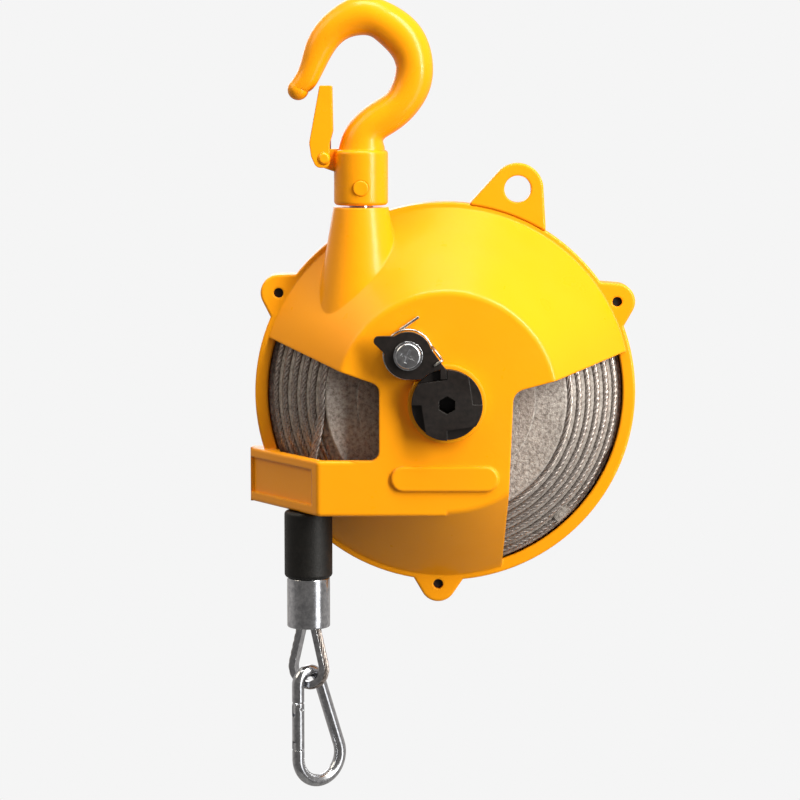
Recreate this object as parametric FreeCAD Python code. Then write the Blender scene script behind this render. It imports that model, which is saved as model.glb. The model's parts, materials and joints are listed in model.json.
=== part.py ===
import FreeCAD, Part
import math
import os

# Spring balancer for hanging a hand tool: a cast two-part case with a taper rope drum, a flat spiral
# power spring, a ratchet that sets its tension, a swivelling top hook and a snap hook on the rope.
#
# Sizes are in millimetres. The model is built from the drum's axis: x to the right, d towards the
# front from the plane where the two casings meet, z up. export() moves it to its own frame, whose
# origin is the centre of the top hook's bowl, on the swivel's axis, with the front facing -Y.

V = FreeCAD.Vector

# ---- driving dimensions -------------------------------------------------------------------------
running = 0.05            # radial clearance of a shaft in its bush
seat = 0.10               # gap between pieces that only sit against each other
free = 0.6                # gap between pieces that pass each other

# where the hook and the rope hang, from the drum's axis
hook_x = -44.0
hook_d = 18.0
hook_bowl_z = 165.5
rope_lead = 7.9           # from the smallest turn out to the rope's line through its guide
rope_back = 6.0           # from the smallest turn back to the rope's line
rope_r = 2.0

# casings
rim_r = 100.0
rim_thick = 8.0
rim_wall = 5.5
case_edge_r = 1.2
rim_edge_r = 1.0
plate_edge_r = 4.0
case_depth = 57.0
plate_inset = 43.5        # from the rim in to the front plate's edge
plate_thick = 5.0
cone_foot_inset = 2.8
cone_wall = 3.0
back_depth = 21.0
back_wall = 4.0
back_boss_r = 20.0
back_boss_high = 5.0
rib_count = 6
rib_wide = 4.0
rib_high = 2.0

# bolted ears and the safety-chain ear
ear_out = 2.0             # from the rim out to the ears' holes
ear_r = 9.5
ear_angles = (28.0, 149.0, 268.0)
ear_root_r = 17.0
ear_root_back = 14.0
case_screw_r = 2.5
case_screw_head_r = 4.4
case_screw_head_high = 5.0
case_screw_flats = 4.0
safety_ear_angle = 70.6
safety_ear_out = 13.3
safety_ear_r = 13.5
safety_hole_r = 7.0
safety_root_r = 21.8
safety_root_back = 21.3

# raised pad on the front plate
pad_left = -22.0
pad_right = 20.0
pad_z = -39.0
pad_r = 6.5
pad_high = 2.0

# windows
window_top_left = 29.0
window_top_right = 9.0
window_inner_x = -34.5
window_corner = 5.0
left_window_knee = 8.0    # how far inside the rim the window's top edge bends
left_window_angle = 11.9
right_window_x = 34.0
right_window_lean = 2.3
right_window_z = 5.5
right_window_corner = 7.0
right_window_angle = 15.0

# rope guide box
guide_front_lead = 5.5    # from the rope's line to the box's front corner
guide_back_out = 3.0      # how far the box stands out past the rim at its back
guide_top_z = -30.0
guide_foot_z = -58.5
guide_floor = 5.0
guide_side_wall = 4.5
guide_recess = 1.5
guide_bead = 5.0
guide_edge_r = 1.6
guide_bush_r = 4.2
guide_bush_bore_r = 2.7

# hook column
column_top_z = 98.0
column_top_r = 14.3
column_foot_z = 32.0
column_taper = 9.9
column_wall = 8.0

# drum, its rope grooves and the spring inside it
turn_count = 6
drum_clear = 1.5          # between the drum's rim and the casing
drum_lip = 4.4            # from the last turn's centre line out to the rim
turn_step_r = 5.0
first_turn_back = 20.0    # from the casing's front back to the smallest turn
last_turn_d = 8.0
drum_face_high = 3.5      # from the smallest turn's centre to the drum's front
drum_hub_r = 46.0
drum_hub_high = 1.5
drum_face_step = 1.0      # the drum's face behind its front bearing
drum_rim_back = -9.0
drum_wall = 9.5
drum_rim_wall = 7.0
turn_crest = 0.3          # from the turns' centre line up to the drum's surface between them
drum_face_thick = 6.0
groove_play = 0.15
anchor_angle = -46.0
anchor_r = 3.0
anchor_long = 9.0
notch_start = -17.0
notch_end = -39.5
notch_deep = 5.2
bearing_r = 12.0
bearing_long = 10.0
hub_tube_r = 18.0
spring_cover_thick = 2.0
cover_screw_count = 6
cover_screw_r = 1.6
spring_strip = 1.2
spring_gap = 1.4          # between the spring's pin and the drum's wall
spring_first_r = 14.0
spring_half_turns = 22
spring_high = 24.0
spring_back_d = -3.0
spring_pin_r = 2.2

# shaft, ratchet and pawl
shaft_r = 8.0
arbor_r = 12.0
shaft_back_d = -28.5
hub_boss_r = 20.0
hub_boss_high = 5.0
bush_r = 11.0
wheel_r = 18.0
wheel_root_r = 13.0
wheel_teeth = 4
wheel_first_step = 90.0
wheel_ramp_angle = 53.0
wheel_disc_thick = 1.9
wheel_thick = 5.6
wheel_cap = 1.6
shaft_flat = 1.4
hex_flats = 8.0
hex_deep = 9.0
pawl_x = -19.7
pawl_z = 25.2
pawl_r = 12.0
pawl_thick = 3.6
pawl_pivot_r = 4.0
pawl_tip_low = 13.2
pawl_tip_high = 18.9
pawl_claw = 3.4
pawl_clear = 0.5
pawl_boss_r = 10.6
pawl_coil_r = 12.3
pawl_wire_r = 0.75
pawl_washer_r = 7.4
pawl_head_r = 6.6

# hook block, stud and latch
block_r = 14.0
block_gap = 1.0
block_top_z = 127.5
stud_r = 6.0
stud_head_r = 8.5
stud_head_high = 4.6
washer_thick = 1.8
hook_pin_r = 4.0
hook_pin_up = 10.0        # from the column's top to the pin's axis
stud_reach = 18.0
latch_x = -63.0
latch_z = 123.2
latch_wide = 15.0
latch_high = 37.4
latch_sheet = 1.8
latch_rivet_r = 2.2
latch_lug_thick = 5.0
latch_wire_r = 0.45
latch_loop_r = 3.0
latch_leg = 11.0

# load end
bumper_r = 12.5
bumper_top_gap = 0.5
bumper_long = 35.0
sleeve_r = 11.2
sleeve_long = 26.2
sleeve_wall = 2.6
eye_turn = -26.0
eye_centre_z = -142.1
eye_r = 9.8
eye_leg = 3.4
thimble_wide = 5.0
thimble_hole_r = 7.2
snap_turn = 38.0
snap_wire_r = 3.2
snap_top_z = -150.9
snap_top_r = 7.0
snap_low_z = -189.8
snap_low_r = 13.6
gate_top_z = -159.6
gate_low_z = -185.1
gate_tang = 2.4
gate_tang_long = 6.0
gate_rivet_r = 1.1
gate_pivot_back = 3.4
gate_end_gap = 0.3

# ---- derived sizes ------------------------------------------------------------------------------
plate_r = rim_r - plate_inset
ear_circle_r = rim_r + ear_out
safety_ear_at = rim_r + safety_ear_out
cone_foot_r = rim_r - cone_foot_inset
cone_slope = (cone_foot_r - plate_r) / (case_depth - rim_thick)
cone_wall_r = cone_wall * math.hypot(1.0, cone_slope)
cavity_r = rim_r - rim_wall
drum_rim_r = cavity_r - drum_clear
groove_r = rope_r + groove_play
first_turn_r = drum_rim_r - drum_lip - (turn_count - 1) * turn_step_r
first_turn_d = case_depth - first_turn_back
turn_step_d = (first_turn_d - last_turn_d) / (turn_count - 1)
turn_slope = turn_step_r / turn_step_d
drum_front_d = first_turn_d + drum_face_high
rope_x = -(first_turn_r + rope_lead)
rope_d = first_turn_d - rope_back
guide_front_x = rope_x + guide_front_lead
guide_back_x = -(rim_r + guide_back_out)
guide_slope = (guide_front_x - guide_back_x) / case_depth
guide_inset = math.hypot(1.0, guide_slope)
boss_face_d = case_depth + hub_boss_high
wheel_back_d = boss_face_d + seat
wheel_tooth_d = wheel_back_d + wheel_disc_thick
wheel_front_d = wheel_back_d + wheel_thick
pawl_back_d = wheel_tooth_d + free / 2.0
pawl_front_d = pawl_back_d + pawl_thick
bumper_top_z = guide_foot_z - bumper_top_gap
bumper_foot_z = bumper_top_z - bumper_long
sleeve_foot_z = bumper_foot_z - sleeve_long
drum_back_d = drum_rim_back - spring_cover_thick
spring_front_d = spring_back_d + spring_high
spring_room_front_r = first_turn_r + turn_crest + (first_turn_d - spring_front_d) * turn_slope - drum_wall
spring_end_r = spring_room_front_r - spring_pin_r - spring_gap
spring_pitch = 2.0 * (spring_end_r - spring_first_r) / spring_half_turns


# ---- building blocks ----------------------------------------------------------------------------
def at(x, d, z):
    return V(x, -d, z)


def unit(p, q):
    length = math.hypot(q[0] - p[0], q[1] - p[1])
    return ((q[0] - p[0]) / length, (q[1] - p[1]) / length)


def outline(points, place):
    """A closed wire through points (a, b) or (a, b, corner radius), put in space by place(a, b)."""
    count = len(points)
    starts, ends, middles = [], [], []
    for i in range(count):
        p = points[i]
        before = points[i - 1]
        after = points[(i + 1) % count]
        if len(p) < 3:
            starts.append(p)
            ends.append(p)
            middles.append(None)
            continue
        back = unit(p, before)
        on = unit(p, after)
        half = math.acos(back[0] * on[0] + back[1] * on[1]) / 2.0
        reach = p[2] / math.tan(half)
        starts.append((p[0] + back[0] * reach, p[1] + back[1] * reach))
        ends.append((p[0] + on[0] * reach, p[1] + on[1] * reach))
        bisect = unit((0.0, 0.0), (back[0] + on[0], back[1] + on[1]))
        inset = p[2] / math.sin(half) - p[2]
        middles.append((p[0] + bisect[0] * inset, p[1] + bisect[1] * inset))
    edges = []
    for i in range(count):
        if middles[i]:
            edges.append(Part.Arc(place(*starts[i][:2]), place(*middles[i]), place(*ends[i][:2])).toShape())
        a = place(*ends[i][:2])
        b = place(*starts[(i + 1) % count][:2])
        if (b - a).Length > 1e-6:
            edges.append(Part.LineSegment(a, b).toShape())
    return Part.Wire(edges)


def belt(c1, r1, c2, r2, place):
    """A closed wire round two circles, as a belt runs round two pulleys."""
    u = unit(c1, c2)
    angle = math.atan2(u[1], u[0])
    spread = math.acos((r1 - r2) / math.hypot(c2[0] - c1[0], c2[1] - c1[1]))

    def on(c, r, a):
        return place(c[0] + r * math.cos(a), c[1] + r * math.sin(a))

    edges = [
        Part.LineSegment(on(c1, r1, angle + spread), on(c2, r2, angle + spread)).toShape(),
        Part.Arc(on(c2, r2, angle + spread), on(c2, r2, angle), on(c2, r2, angle - spread)).toShape(),
        Part.LineSegment(on(c2, r2, angle - spread), on(c1, r1, angle - spread)).toShape(),
        Part.Arc(
            on(c1, r1, angle - spread), on(c1, r1, angle + math.pi), on(c1, r1, angle + spread),
        ).toShape(),
    ]
    return Part.Wire(edges)


def facing(d):
    return lambda x, z: at(x, d, z)


def plate(points, d0, d1):
    """A plate parallel to the front, from depth d0 to depth d1."""
    return Part.Face(outline(points, facing(d0))).extrude(V(0, d0 - d1, 0))


def link(c1, r1, c2, r2, d0, d1):
    """A link-shaped plate round two circles, from depth d0 to depth d1."""
    return Part.Face(belt(c1, r1, c2, r2, facing(d0))).extrude(V(0, d0 - d1, 0))


def slab(points, z0, z1):
    """A prism with its outline (x, d) in plan, from height z0 to height z1."""
    return Part.Face(outline(points, lambda x, d: at(x, d, z0))).extrude(V(0, 0, z1 - z0))


def turned(points):
    """A body turned about the drum's axis from a profile of (radius, depth) points."""
    return Part.Face(outline(points, lambda r, d: at(r, d, 0))).revolve(V(0, 0, 0), V(0, 1, 0), 360)


def rod(r, d0, d1, x=0.0, z=0.0):
    return Part.makeCylinder(r, d1 - d0, at(x, d0, z), V(0, -1, 0))


def post(r, z0, z1, x, d):
    return Part.makeCylinder(r, z1 - z0, at(x, d, z0), V(0, 0, 1))


def polar(r, angle):
    return (r * math.cos(math.radians(angle)), r * math.sin(math.radians(angle)))


def hexagon(flats, d0, d1, x=0.0, z=0.0):
    corner = flats / math.sqrt(3.0)
    points = []
    for k in range(6):
        px, pz = polar(corner, 60.0 * k + 30.0)
        points.append((x + px, z + pz))
    return plate(points, d0, d1)


def fused(shapes):
    body = shapes[0]
    for s in shapes[1:]:
        body = body.fuse(s)
    return body.removeSplitter()


def tube(path, r):
    """A round bar along a wire that starts with a straight edge."""
    first = path.Edges[0]
    start = first.valueAt(first.FirstParameter)
    along = first.tangentAt(first.FirstParameter)
    ring = Part.Wire(Part.Circle(start, along, r).toShape())
    return path.makePipeShell([ring], True, True)


def route(points):
    """Straight runs through points, joined by tangent arcs as large as the runs allow."""
    edges = []
    here = points[0]
    for i in range(1, len(points) - 1):
        p = points[i]
        back = points[i - 1] - p
        on = points[i + 1] - p
        shorter = min(back.Length, on.Length)
        back.normalize()
        on.normalize()
        reach = 0.45 * shorter
        half = math.acos(max(-1.0, min(1.0, back.dot(on)))) / 2.0
        radius = reach * math.tan(half)
        bisect = (back + on)
        bisect.normalize()
        middle = p + bisect * (radius / math.sin(half) - radius)
        a = p + back * reach
        b = p + on * reach
        edges.append(Part.LineSegment(here, a).toShape())
        edges.append(Part.Arc(a, middle, b).toShape())
        here = b
    edges.append(Part.LineSegment(here, points[-1]).toShape())
    return Part.Wire(edges)


def eased(shape, r, pick):
    """Rounds the edges whose bounding box pick() accepts."""
    return shape.makeFillet(r, [e for e in shape.Edges if pick(e.BoundBox)])


def on_front(d):
    """Picks the edges that lie in the plane at depth d."""
    return lambda b: abs(b.YMin + d) < 1e-3 and abs(b.YMax + d) < 1e-3


def export(name, shape):
    placed = shape.copy()
    placed.translate(V(-hook_x, hook_d, -hook_bowl_z))
    placed.exportStep("parts/" + name + ".step")
    solids = placed.Solids
    print("%-22s solids %d  volume %.1f  valid %s" % (name, len(solids), placed.Volume, placed.isValid()))


# ---- casings ------------------------------------------------------------------------------------
def cone_r(d):
    return plate_r + (case_depth - d) * cone_slope


def guide_wall_x(d, inset=0.0):
    return guide_front_x - (case_depth - d) * guide_slope + inset * guide_inset


def ears(d0, d1):
    shapes = []
    for a in ear_angles:
        root = polar(ear_circle_r - ear_root_back, a)
        ear = link(polar(ear_circle_r, a), ear_r, root, ear_root_r, d0, d1)
        shapes.append(eased(ear, case_edge_r, on_front(d1 if d1 > 0 else d0)))
    return shapes


def ear_holes(r, d0, d1):
    return [rod(r, d0, d1, *polar(ear_circle_r, a)) for a in ear_angles]


def safety_ear():
    """The safety chain's ear, from the rim outwards."""
    ear = link(
        polar(safety_ear_at, safety_ear_angle), safety_ear_r,
        polar(safety_ear_at - safety_root_back, safety_ear_angle), safety_root_r, 0, rim_thick,
    )
    ear = eased(ear, case_edge_r, on_front(rim_thick))
    return ear.cut(case_skin()).cut(safety_hole())


def safety_hole():
    return rod(safety_hole_r, -1, rim_thick + 1, *polar(safety_ear_at, safety_ear_angle))


def column_r(z):
    return column_top_r + (column_top_z - z) * math.tan(math.radians(column_taper))


def column():
    high = column_top_z - column_foot_z
    return Part.makeCone(column_r(column_foot_z), column_top_r, high, at(hook_x, hook_d, column_foot_z))


def column_bore():
    under = column_top_z - column_wall
    pocket_r = stud_head_r + 2.0
    bore = post(stud_r + running, under - 1, column_top_z + 1, hook_x, hook_d)
    return bore.fuse(post(pocket_r, column_foot_z, under, hook_x, hook_d))


def guide_box():
    front_d = case_depth - guide_bead
    shell = slab(
        [(0, 0), (0, case_depth), (guide_front_x, case_depth, 3.0), (guide_wall_x(0), 0)],
        guide_foot_z, guide_top_z,
    )

    def outer(b):
        level = b.ZLength < 1e-3
        return level and b.XMin < -1e-3 and abs(b.XMax) + abs(b.YMax - b.YMin) > 1e-3 and b.YMin < -1e-3

    shell = eased(shell, guide_edge_r, outer)
    recess = slab(
        [
            (guide_wall_x(front_d), front_d),
            (guide_wall_x(front_d, guide_recess), front_d),
            (guide_wall_x(-1, guide_recess), -1),
            (guide_wall_x(-1) - guide_bead, -1),
            (guide_wall_x(front_d) - guide_bead, front_d),
        ],
        guide_foot_z + guide_bead, guide_top_z - guide_bead,
    )
    return shell.cut(recess)


def guide_cavity():
    inner_d = case_depth - plate_thick
    low = guide_foot_z + guide_floor
    roof_x = rope_x - bumper_r - 3.0

    def plan(z0, z1, end_x):
        points = [(0, -1), (0, inner_d), (guide_wall_x(inner_d, guide_side_wall), inner_d)]
        if end_x > guide_wall_x(-1, guide_side_wall):
            cut_d = case_depth - (guide_front_x - end_x + guide_side_wall * guide_inset) / guide_slope
            points += [(end_x, cut_d), (end_x, -1)]
        else:
            points += [(guide_wall_x(-1, guide_side_wall), -1)]
        return slab(points, z0, z1)

    lower = plan(low, guide_top_z - guide_bead, guide_back_x)
    upper = plan(guide_top_z - guide_bead - 1, guide_top_z + 1, roof_x)
    return lower.fuse(upper)


def left_window():
    knee_x = left_window_knee - rim_r
    far_z = window_top_left + rim_r * math.tan(math.radians(left_window_angle))
    return plate(
        [
            (window_inner_x, guide_top_z, window_corner),
            (window_inner_x, window_top_right, window_corner),
            (knee_x, window_top_left),
            (knee_x - rim_r, far_z),
            (knee_x - rim_r, guide_top_z),
        ],
        rim_thick, case_depth + 5,
    )


def right_window():
    far_x = 2.0 * rim_r
    rise = math.tan(math.radians(right_window_angle))
    return plate(
        [
            (right_window_x, right_window_z, right_window_corner),
            (far_x, right_window_z + (far_x - right_window_x) * rise),
            (far_x, -far_x),
            (right_window_x - (far_x + right_window_z) * math.tan(math.radians(right_window_lean)), -far_x),
        ],
        rim_thick, case_depth + 5,
    )


def front_pad():
    """The bare raised pad on the front plate."""
    front_d = case_depth + pad_high
    pad = link((pad_left, pad_z), pad_r, (pad_right, pad_z), pad_r, case_depth - 1, front_d)
    return eased(pad, case_edge_r, on_front(front_d))


def case_skin():
    """The front casting's outer form: rim, cone and front plate."""
    return turned([
        (0, 0), (rim_r, 0), (rim_r, rim_thick, rim_edge_r), (cone_foot_r, rim_thick),
        (plate_r, case_depth, plate_edge_r), (0, case_depth),
    ])


def front_case():
    body = fused([case_skin()] + ears(0, rim_thick) + [column(), guide_box()])
    inner_d = case_depth - plate_thick
    foot_d = rim_thick - 1.5
    cavity = turned([
        (0, -1), (cavity_r, -1), (cavity_r, foot_d), (cone_r(inner_d) - cone_wall_r, inner_d, 2.0),
        (0, inner_d),
    ])
    body = body.cut(cavity).cut(guide_cavity())
    behind = 4.0 * rim_r
    body = body.cut(Part.makeBox(behind, behind, behind, V(-behind / 2.0, 0, -behind / 2.0)))
    body = body.cut(left_window()).cut(right_window())
    body = body.fuse(front_pad())
    holes = ear_holes(case_screw_r + running, -1, rim_thick + 1)
    holes += [
        rod(bush_r, inner_d - 5, case_depth + 1),
        rod(case_screw_r + running, inner_d - 1, case_depth + 1, pawl_x, pawl_z),
        column_bore(),
        post(guide_bush_r, guide_foot_z - 1, guide_foot_z + guide_floor + 1, rope_x, rope_d),
    ]
    for h in holes:
        body = body.cut(h)
    return body


def front_bosses():
    """The hub boss, cut away beside the pawl's coil, and the boss under the pawl."""
    coil_room = rod(pawl_coil_r + 2.0 * pawl_wire_r + free, case_depth, boss_face_d + 1, pawl_x, pawl_z)
    hub = bush(case_depth, boss_face_d, bush_r, hub_boss_r).cut(coil_room)
    pawl_seat = rod(pawl_boss_r, case_depth, pawl_back_d - seat, pawl_x, pawl_z)
    screw_hole = rod(case_screw_r + running, case_depth - 1, pawl_back_d + 5, pawl_x, pawl_z)
    return Part.makeCompound([hub, pawl_seat.cut(screw_hole)])


def back_cover():
    skin = turned([
        (0, 0), (rim_r, 0), (rim_r, -rim_thick, 1.0), (rim_r - 1.5, -rim_thick),
        (rim_r - 3.0, -back_depth, 7.0), (0, -back_depth),
    ])
    lug = slab(
        [(guide_wall_x(0), 0), (guide_wall_x(0) + 1.0, -rim_thick, 2.0), (-60.0, -rim_thick), (-60.0, 0)],
        guide_foot_z, guide_top_z,
    )
    shapes = [skin, lug] + ears(-rim_thick, 0)
    shapes.append(rod(back_boss_r, -back_depth - back_boss_high, -back_depth + 1))
    for k in range(rib_count):
        rib = Part.makeBox(
            rim_r - 20.0 - back_boss_r + 4.0, rib_high + 1.0, rib_wide,
            at(back_boss_r - 4.0, -back_depth + 1.0, -rib_wide / 2.0),
        )
        rib.rotate(V(0, 0, 0), V(0, 1, 0), 360.0 * k / rib_count + 30.0)
        shapes.append(rib)
    body = fused(shapes)
    cavity = turned([
        (0, 1), (cavity_r, 1), (cavity_r, -back_depth + back_wall, 5.0), (0, -back_depth + back_wall),
    ])
    body = body.cut(cavity)
    reliefs = ear_holes(case_screw_head_r + free, -back_depth - 1, -rim_thick)
    for h in ear_holes(case_screw_r + 0.3, -back_depth, 1) + reliefs:
        body = body.cut(h)
    return body.cut(rod(bush_r, -back_depth - back_boss_high - 1, 1))


def case_screws():
    screws = []
    for a in ear_angles:
        x, z = polar(ear_circle_r, a)
        head_d = -rim_thick - case_screw_head_high
        head = rod(case_screw_head_r, head_d, -rim_thick, x, z)
        shank = rod(case_screw_r, -rim_thick - 0.5, rim_thick - 2.0, x, z)
        socket = hexagon(case_screw_flats, head_d - 1, -rim_thick - case_screw_head_high / 2.0, x, z)
        screws.append(head.fuse(shank).cut(socket))
    return Part.makeCompound(screws)


def bush(d0, d1, inner_r, outer_r):
    return rod(outer_r, d0, d1).cut(rod(inner_r, d0 - 1, d1 + 1))


def rope_guide():
    floor_z = guide_foot_z + guide_floor
    body = post(guide_bush_r, guide_foot_z, floor_z, rope_x, rope_d)
    collar = post(guide_bush_r + 0.7, floor_z, floor_z + 1.6, rope_x, rope_d)
    bell = Part.makeCone(
        guide_bush_bore_r, guide_bush_bore_r + 1.6, 4.0, at(rope_x, rope_d, floor_z - 2.0))
    return body.fuse(collar).cut(bell).cut(post(guide_bush_bore_r, guide_foot_z - 1, floor_z, rope_x, rope_d))


# ---- drum ---------------------------------------------------------------------------------------
def turn_r(i):
    return first_turn_r + i * turn_step_r


def turn_d(i):
    return first_turn_d - i * turn_step_d


def crest_r(d):
    """Radius of the drum's cone between its grooves at depth d."""
    return first_turn_r + turn_crest + (first_turn_d - d) * turn_slope


def spring_room_r(d):
    return min(crest_r(d) - drum_wall, drum_rim_r - drum_rim_wall)


def groove(i):
    """The ring cut for one turn of rope: round at the bottom and open straight outwards."""
    low = (turn_r(i), turn_d(i))
    high = (turn_r(i) + 6.0, turn_d(i))
    section = belt(low, groove_r, high, groove_r + 0.5, lambda r, d: at(r, d, 0))
    return Part.Face(section).revolve(V(0, 0, 0), V(0, 1, 0), 360)


def taper_drum():
    top_d = first_turn_d + 2.6
    low_d = turn_d(turn_count - 1) - 3.0
    face_d = drum_front_d - drum_face_step
    skin = turned([
        (0, drum_rim_back), (drum_rim_r, drum_rim_back, 1.0), (drum_rim_r, low_d, 1.5),
        (crest_r(low_d), low_d), (crest_r(top_d), top_d, 1.0), (crest_r(top_d) - 3.0, face_d, 1.0),
        (0, face_d),
    ])
    raised = turned([
        (0, 0), (drum_hub_r, 0), (drum_hub_r, face_d + drum_hub_high, 0.8), (0, face_d + drum_hub_high),
    ])
    skin = skin.fuse(raised)
    inner_d = drum_front_d - drum_face_thick
    rim_room_r = drum_rim_r - drum_rim_wall
    straight_d = first_turn_d - (rim_room_r - crest_r(first_turn_d) + drum_wall) / turn_slope
    room = turned([
        (0, drum_rim_back - 1), (rim_room_r, drum_rim_back - 1), (rim_room_r, straight_d),
        (spring_room_r(inner_d), inner_d, 3.0), (0, inner_d),
    ])
    hub = rod(hub_tube_r, inner_d - bearing_long + drum_face_thick, face_d)
    body = skin.cut(room).fuse(hub)
    for i in range(turn_count):
        body = body.cut(groove(i))
    body = body.cut(rod(bearing_r, -20, drum_front_d + 5))
    return body.cut(anchor_notch()).removeSplitter()


def anchor_notch():
    """The sloping notch in the large rim where the rope's end is brought in."""
    last_d = turn_d(turn_count - 1)
    out_r = drum_rim_r + 4.0
    corners = [
        polar(drum_rim_r + 0.2, notch_start), polar(drum_rim_r - notch_deep, notch_end),
        polar(out_r, notch_end - 1.5), polar(out_r, notch_start),
    ]
    return plate(corners, last_d - 6.0, last_d + 6.0)


def cable_anchor():
    """The crimped ferrule on the rope's end, in its seat in the last groove."""
    last = turn_count - 1
    x, z = polar(turn_r(last), anchor_angle)
    tangent = V(-math.sin(math.radians(anchor_angle)), 0, math.cos(math.radians(anchor_angle)))
    start = at(x, turn_d(last), z) - tangent * (anchor_long / 2.0)
    return Part.makeCylinder(anchor_r, anchor_long, start, tangent)


def wound_cable():
    """The turns that lie in the larger grooves; the rope leaves the drum from the smallest one."""
    turns = []
    for i in range(1, turn_count):
        turns.append(Part.makeTorus(turn_r(i), rope_r, at(0, turn_d(i), 0), V(0, 1, 0)))
    anchor = cable_anchor()
    turns[-1] = turns[-1].cut(anchor)
    return Part.makeCompound(turns)


def spring_cover():
    disc = turned([
        (0, drum_back_d), (drum_rim_r - 1.0, drum_back_d, 0.6), (drum_rim_r - 1.0, drum_rim_back),
        (0, drum_rim_back),
    ])
    hub = rod(hub_tube_r - 2.0, drum_back_d, drum_rim_back + 5.0)
    body = disc.fuse(hub).cut(rod(bearing_r, drum_back_d - 1, drum_rim_back + 6.0))
    for x, z in cover_screw_places():
        body = body.cut(rod(cover_screw_r + 0.2, drum_back_d - 1, drum_rim_back + 1, x, z))
    return body


def cover_screw_places():
    return [polar(drum_rim_r - 3.6, 360.0 * k / cover_screw_count) for k in range(cover_screw_count)]


def spring_cover_screws():
    screws = []
    for x, z in cover_screw_places():
        head = rod(2.8, drum_back_d - 1.6, drum_back_d, x, z)
        shank = rod(cover_screw_r, drum_back_d - 0.5, drum_rim_back + 7.0, x, z)
        slot = Part.makeBox(6.0, 1.0, 0.9, at(x - 3.0, drum_back_d - 0.8, z - 0.45))
        screws.append(head.fuse(shank).cut(slot))
    return Part.makeCompound(screws)


def spring_pin():
    """The pin in the drum that the power spring's outer end bears on."""
    foot_d = spring_back_d + 1.0
    return rod(spring_pin_r, foot_d, foot_d + spring_high + 4.0, spring_end_r, spring_pin_r + seat)


def cover_screw_holes(body):
    for x, z in cover_screw_places():
        body = body.cut(rod(cover_screw_r + running, drum_rim_back - 1, drum_rim_back + 8.0, x, z))
    return body


def power_spring():
    """A flat strip wound in a spiral of half circles, hooked into the arbor at its inner end."""
    def side(shift):
        edges = []
        d = spring_back_d
        for k in range(spring_half_turns):
            r = spring_first_r + k * spring_pitch / 2.0 + shift
            centre = 0.0 if k % 2 == 0 else spring_pitch / 2.0
            sign = 1.0 if k % 2 == 0 else -1.0
            a = at(centre + sign * r, d, 0)
            m = at(centre, d, sign * r)
            b = at(centre - sign * r, d, 0)
            edges.append(Part.Arc(a, m, b).toShape())
        return edges

    half = spring_strip / 2.0
    outer = side(half)
    inner = side(-half)
    a0 = inner[0].valueAt(inner[0].FirstParameter)
    b0 = outer[0].valueAt(outer[0].FirstParameter)
    a1 = inner[-1].valueAt(inner[-1].LastParameter)
    b1 = outer[-1].valueAt(outer[-1].LastParameter)
    edges = outer + [Part.LineSegment(b1, a1).toShape()] + inner[::-1] + [Part.LineSegment(a0, b0).toShape()]
    wire = Part.Wire(Part.__sortEdges__(edges))
    strip = Part.Face(wire).extrude(V(0, -spring_high, 0))
    hook = Part.makeBox(
        spring_first_r + half - 7.0, spring_high, spring_strip,
        V(7.0, -spring_back_d - spring_high, 0),
    )
    return strip.fuse(hook).removeSplitter()


# ---- shaft and ratchet --------------------------------------------------------------------------
def main_shaft():
    wheel_seat_d = wheel_front_d - wheel_cap
    arbor_front = drum_front_d - bearing_long - drum_face_step - free
    arbor_back = drum_rim_back + 5.0 + free
    body = fused([rod(shaft_r, shaft_back_d, wheel_seat_d), rod(arbor_r, arbor_back, arbor_front)])
    slot = Part.makeBox(arbor_r, spring_high + 2.0, spring_strip + 0.6,
                        V(6.4, -spring_back_d - spring_high - 1.0, -0.3))
    socket = hexagon(hex_flats, wheel_seat_d - hex_deep, wheel_seat_d + 1)
    groove = bush(shaft_back_d + 1.4, shaft_back_d + 2.7, shaft_r - 1.0, shaft_r + 1)
    flats = [
        Part.makeBox(30, wheel_thick, 5, V(-15, -wheel_seat_d - 1, shaft_r - shaft_flat)),
        Part.makeBox(30, wheel_thick, 5, V(-15, -wheel_seat_d - 1, -shaft_r + shaft_flat - 5)),
    ]
    for s in [slot, socket, groove] + flats:
        body = body.cut(s)
    return body


def ratchet_wheel():
    step = 360.0 / wheel_teeth
    edges = []
    for k in range(wheel_teeth):
        a = wheel_first_step + k * step
        foot = at(*spread(polar(wheel_root_r, a), wheel_tooth_d))
        tip = at(*spread(polar(wheel_r, a + wheel_ramp_angle), wheel_tooth_d))
        mid = at(*spread(polar(wheel_r, a + (wheel_ramp_angle + step) / 2.0), wheel_tooth_d))
        end = at(*spread(polar(wheel_r, a + step), wheel_tooth_d))
        drop = at(*spread(polar(wheel_root_r, a + step), wheel_tooth_d))
        edges.append(Part.LineSegment(foot, tip).toShape())
        edges.append(Part.Arc(tip, mid, end).toShape())
        edges.append(Part.LineSegment(end, drop).toShape())
    teeth = Part.Face(Part.Wire(edges)).extrude(V(0, -(wheel_front_d - wheel_tooth_d), 0))
    body = rod(wheel_r, wheel_back_d, wheel_tooth_d + 0.01).fuse(teeth).removeSplitter()
    wheel_seat_d = wheel_front_d - wheel_cap
    bore = rod(shaft_r + running, wheel_back_d - 1, wheel_seat_d + running)
    land = shaft_r - shaft_flat + running
    lands = [
        Part.makeBox(30, 20, 5, V(-15, -wheel_seat_d - running, land)),
        Part.makeBox(30, 20, 5, V(-15, -wheel_seat_d - running, -land - 5)),
    ]
    for s in lands:
        bore = bore.cut(s)
    return body.cut(bore).cut(hexagon(hex_flats, wheel_seat_d - 1, wheel_front_d + 1))


def spread(p, d):
    return (p[0], d, p[1])


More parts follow.
